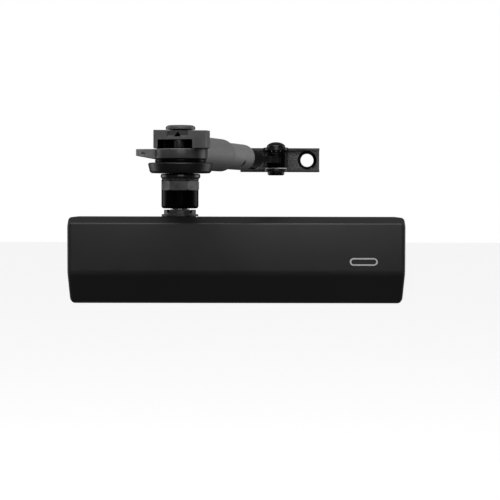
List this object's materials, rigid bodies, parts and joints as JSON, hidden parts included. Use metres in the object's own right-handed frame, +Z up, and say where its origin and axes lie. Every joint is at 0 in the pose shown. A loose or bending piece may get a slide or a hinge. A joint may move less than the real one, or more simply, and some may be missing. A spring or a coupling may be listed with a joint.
{
  "type": "door closer",
  "caption": "Overhead hydraulic door closer with a long chamfered cover, a two-part arm, a hold-open elbow and a frame bracket",
  "frame": {"origin": "centre of the face that is screwed to the door", "axes": "+X along the body, +Y into the door, +Z up along the spindle; the arm reaches out along -Y"},
  "size_m": [0.2374, 0.2236, 0.1178],
  "materials": {
    "cover_plastic": "fine satin black",
    "cast_aluminium": "as cast",
    "bright_steel": "ground",
    "black_steel": "satin black",
    "grey_tube": "dark grey satin",
    "bronze": "sintered",
    "rubber": "matte",
    "nylon": "natural"
  },
  "bodies": {
    "closer_body": {"body_casting": "cast_aluminium", "left_foot": "black_steel", "left_foot_screw_upper": "bright_steel", "left_foot_screw_lower": "bright_steel", "right_foot": "black_steel", "right_foot_screw_upper": "bright_steel", "right_foot_screw_lower": "bright_steel", "left_end_plug": "bright_steel", "left_plug_o_ring": "rubber", "right_end_plug": "bright_steel", "right_plug_o_ring": "rubber", "closing_spring": "bright_steel", "upper_bearing": "bronze", "lower_bearing": "bronze", "spindle_seal": "rubber", "gland_nut": "black_steel", "gland_ring": "black_steel", "lower_bearing_cap": "bright_steel", "lower_cap_o_ring": "rubber"},
    "cover_shell": {"cover": "cover_plastic"},
    "sweep_screw": {"sweep_valve": "bright_steel", "sweep_valve_o_ring": "rubber"},
    "latch_screw": {"latch_valve": "bright_steel", "latch_valve_o_ring": "rubber"},
    "backcheck_screw": {"backcheck_valve": "bright_steel", "backcheck_valve_o_ring": "rubber"},
    "power_screw": {"power_adjusting_screw": "bright_steel"},
    "seat": {"spring_seat": "bright_steel"},
    "plunger": {"piston": "bright_steel", "check_valve_seat": "bronze"},
    "check_ball": {"check_valve_ball": "bright_steel"},
    "spindle": {"pinion_spindle": "bright_steel", "main_arm": "black_steel", "arm_screw": "black_steel", "arm_screw_washer": "black_steel", "elbow_bolt": "black_steel", "elbow_spring_washer": "black_steel", "index_disc": "black_steel", "friction_washer": "black_steel"},
    "clamp_nut": {"elbow_nut": "black_steel"},
    "detent_plate": {"hold_open_plate": "black_steel"},
    "forearm": {"forearm_head": "grey_tube", "forearm_tube": "grey_tube", "roller_pin": "bright_steel"},
    "roller": {"detent_roller": "bright_steel"},
    "lock_screw": {"length_lock_screw": "black_steel"},
    "rod": {"adjusting_rod": "black_steel"},
    "bracket": {"frame_bracket": "black_steel", "bracket_rivet": "black_steel", "pivot_washer": "nylon"}
  },
  "joints": [
    {"name": "spindle_turn", "type": "hinge", "parent": "closer_body", "child": "spindle", "pos_m": [-0.0406, -0.022, 0], "axis": [0, 0, 1], "range_deg": [0, 180]},
    {"name": "piston_slide", "type": "slide", "parent": "closer_body", "child": "plunger", "axis": [1, 0, 0], "range_m": [0, 0.0275], "deforming": ["closing_spring"]},
    {"name": "check_ball_lift", "type": "slide", "parent": "plunger", "child": "check_ball", "axis": [-1, 0, 0], "range_m": [0, 0.0008]},
    {"name": "power_screw_turn", "type": "hinge", "parent": "closer_body", "child": "power_screw", "pos_m": [0.09, -0.022, 0], "axis": [-1, 0, 0], "range_deg": [0, 2160]},
    {"name": "spring_seat_slide", "type": "slide", "parent": "closer_body", "child": "seat", "axis": [-1, 0, 0], "range_m": [0, 0.009]},
    {"name": "sweep_valve_turn", "type": "hinge", "parent": "closer_body", "child": "sweep_screw", "pos_m": [-0.095, -0.038, 0.0196], "axis": [0, -1, 0], "range_deg": [-360, 360]},
    {"name": "latch_valve_turn", "type": "hinge", "parent": "closer_body", "child": "latch_screw", "pos_m": [-0.083, -0.038, 0.0196], "axis": [0, -1, 0], "range_deg": [-360, 360]},
    {"name": "backcheck_valve_turn", "type": "hinge", "parent": "closer_body", "child": "backcheck_screw", "pos_m": [-0.071, -0.038, 0.0196], "axis": [0, -1, 0], "range_deg": [-360, 360]},
    {"name": "cover_slide", "type": "slide", "parent": "closer_body", "child": "cover_shell", "axis": [0, -1, 0], "range_m": [0, 0.06]},
    {"name": "elbow", "type": "hinge", "parent": "spindle", "child": "forearm", "pos_m": [-0.03305, -0.20204, 0.07], "axis": [0, 0, 1], "range_deg": [-150, 8]},
    {"name": "elbow_nut_turn", "type": "hinge", "parent": "spindle", "child": "clamp_nut", "pos_m": [-0.03305, -0.20204, 0.05], "axis": [0, 0, 1], "range_deg": [-360, 0]},
    {"name": "hold_open_setting", "type": "hinge", "parent": "spindle", "child": "detent_plate", "pos_m": [-0.03305, -0.20204, 0.069], "axis": [0, 0, 1], "range_deg": [-45, 90]},
    {"name": "roller_spin", "type": "hinge", "parent": "forearm", "child": "roller", "pos_m": [-0.03339, -0.21245, 0.075], "axis": [0, 0, 1], "continuous": true},
    {"name": "lock_screw_turn", "type": "hinge", "parent": "forearm", "child": "lock_screw", "pos_m": [-0.00215, -0.10694, 0.0707], "axis": [0.7791, -0.2531, -0.5736], "range_deg": [-720, 0]},
    {"name": "rod_length", "type": "slide", "parent": "forearm", "child": "rod", "axis": [0.309, 0.9511, 0], "range_m": [-0.03, 0.02]},
    {"name": "bracket_swivel", "type": "hinge", "parent": "rod", "child": "bracket", "pos_m": [0.02844, -0.01278, 0.0707], "axis": [0, 0, 1], "range_deg": [-105, 68]}
  ],
  "couplings": [
    {"joint": "piston_slide", "follows": "spindle_turn", "m_per_rad": 0.00875},
    {"joint": "power_screw_turn", "follows": "spring_seat_slide", "rad_per_m": 4188.8}
  ]
}
